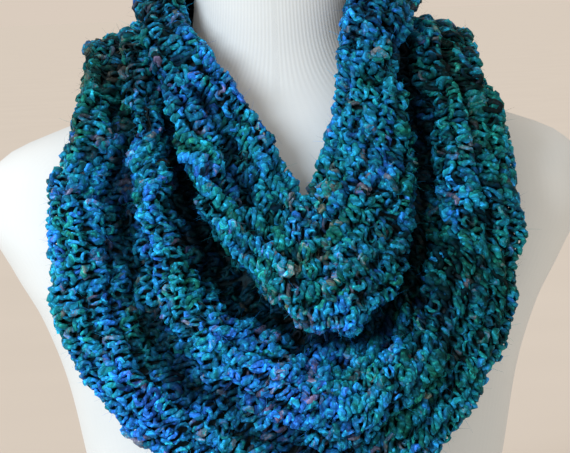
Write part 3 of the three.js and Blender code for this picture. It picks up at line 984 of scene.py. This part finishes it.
for cloth, grid, yarn, resting in ((upper_cloth, upper_grid, upper_yarn, ["dress_form", lower_cloth.name]),
                                   (lower_cloth, lower_grid, lower_yarn, ["dress_form"])):
    print(cloth.name, "flat", flat_size(grid))
    flat_size(grid)

# %% [markdown]
# ## The form's cover
# The form is soft white jersey pulled tight over a smooth body. Its surface is right
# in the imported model, but its facets are coarse, so a finer surface of the same rings
# takes its place. The jersey's fine ribs run up the body and close up at the neck.

# %% Dress form
FORM_SIDES, FORM_LEVELS = 120, 84
RIM = 4.0
RIBS = 150
RIB_FADE_FROM, RIB_FADE_TO, RIB_FADE = 60, 120, 0.85
CORNER_STEPS = 6


def form_points():
    """Superellipse rings with even turns, each corner rounded by a quarter circle."""
    corner = np.linspace(0, np.pi / 2, CORNER_STEPS)
    foot = np.stack([RIM * (1 - np.sin(corner)), RIM * (1 - np.cos(corner))], 1)
    middle = np.linspace(RIM, NECK_TOP - RIM, FORM_LEVELS)[1:-1]
    height = np.concatenate([foot[:, 1], middle, NECK_TOP - foot[::-1, 1]])
    inset = np.concatenate([foot[:, 0], np.zeros(FORM_LEVELS - 2), foot[::-1, 0]])
    angle = 2 * np.pi * np.arange(FORM_SIDES)[None] / FORM_SIDES
    level = height[:, None]
    power = 2 / ring_value(FORM_RINGS, "squareness", level)

    def reach(column, wave):
        half = ring_value(FORM_RINGS, column, level) - inset[:, None]
        return half * np.sign(wave) * np.abs(wave) ** power

    x, y = reach("half_width", np.sin(angle)), reach("half_depth", np.cos(angle))
    return np.stack([x, ring_value(FORM_RINGS, "centre_y", level) - y, level + 0 * x], -1), height


def cover_material():
    """White jersey: ribs from the attribute that counts them, and a soft mottle. The
    rib grooves are darkened in the colour as painted shade.
    """
    material, tree, principled = shader(
        "form_jersey", Roughness=0.9, Specular_IOR_Level=0.25, Sheen_Weight=0.25)
    rib = node(tree, "ShaderNodeAttribute", {"attribute_name": "rib"}, output=2)
    ribs = (rib * 2 * math.pi).sine() * 0.5 + 0.5
    place = node(tree, "ShaderNodeTexCoord", {}, output=3)
    mottle = noise(tree, place, 9.0, detail=3.0)
    grain = noise(tree, place, 900.0, detail=1.0)
    tone = mix_colour(tree, mottle.between(0.3, 0.7), linear(218, 228, 234), linear(228, 236, 240))
    depth = node(tree, "ShaderNodeAttribute", {"attribute_name": "rib_depth"}, output=2)
    # Painted shade: the colour darkens in each rib's groove, on top of its bump.
    tone = mix_colour(tree, (1 - ribs) * depth * 0.14, tone, linear(178, 190, 200))
    plug(tree, principled.inputs["Base Color"], tone)
    height = ribs * depth * 0.7 + grain * 0.3
    bump = node(tree, "ShaderNodeBump", {}, Strength=0.25, Distance=0.0006, Height=height)
    plug(tree, principled.inputs["Normal"], bump)
    return material


cover_points, cover_height = form_points()
levels = len(cover_height)
ring = np.arange(FORM_SIDES)
cover_quads = closed_quads(levels, FORM_SIDES, ring_closed=False)
form_cover = make_piece("form_cover", cover_points.reshape(-1, 3), cover_quads, cover_material(),
                        "form_cover", [ring[::-1], ring + (levels - 1) * FORM_SIDES])
point_attribute(form_cover, "rib", "FLOAT", np.tile(ring / FORM_SIDES * RIBS, levels))
cover_half_width = ring_value(FORM_RINGS, "half_width", cover_height)
rib_depth = 1 - RIB_FADE * ease(cover_half_width, RIB_FADE_FROM, RIB_FADE_TO)
point_attribute(form_cover, "rib_depth", "FLOAT", np.repeat(rib_depth, FORM_SIDES))
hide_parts("dress_form")

# %% [markdown]
# ## Floor and light
# A plain pale floor fills the picture behind the form, and the world has the floor's
# look, so that no horizon shows. One soft light comes from the front left and a little
# above, so that the folds read and their valleys go dark.

# %% Stage
FLOOR_HALF = 300.0
KEY_ENERGY, KEY_SPREAD, KEY_COLOUR = 2.2, math.radians(30), (0.93, 1.0, 1.06)
KEY_HEADING = Vector((0.66, 0.70, -0.36))
WORLD_COLOUR = linear(218, 204, 190)

floor_material, floor_tree, floor_shader = shader("pale_floor", Roughness=1.0, Specular_IOR_Level=0.0)
floor_place = node(floor_tree, "ShaderNodeTexCoord", {}, output=3)
floor_tone = mix_colour(floor_tree, noise(floor_tree, floor_place, 3.0).between(0.3, 0.7),
                        linear(223, 218, 211), linear(225, 220, 213))
plug(floor_tree, floor_shader.inputs["Base Color"], floor_tone)
corners = np.array([(-1, -1, 0), (1, -1, 0), (1, 1, 0), (-1, 1, 0)], float) * FLOOR_HALF / MM
floor = make_piece("floor", corners, np.array([[0, 1, 2, 3]]), floor_material)

key_data = bpy.data.lights.new("key", "SUN")
key_data.energy, key_data.angle, key_data.color = KEY_ENERGY, KEY_SPREAD, KEY_COLOUR
key = bpy.data.objects.new("key", key_data)
key.rotation_euler = KEY_HEADING.to_track_quat("-Z", "Y").to_euler()
bpy.context.scene.collection.objects.link(key)

world = bpy.data.worlds.new("studio")
world.use_nodes = True
background = world.node_tree.nodes["Background"]
background.inputs["Color"].default_value = WORLD_COLOUR
background.inputs["Strength"].default_value = 1.0
bpy.context.scene.world = world
bpy.context.scene.view_settings.view_transform = "Standard"

# %% [markdown]
# The visual model has to stay inside the imported model's box, apart from the little
# that yarn stands proud. The last step brings the scene up to date.

# %% Update the scene
bpy.context.view_layer.update()
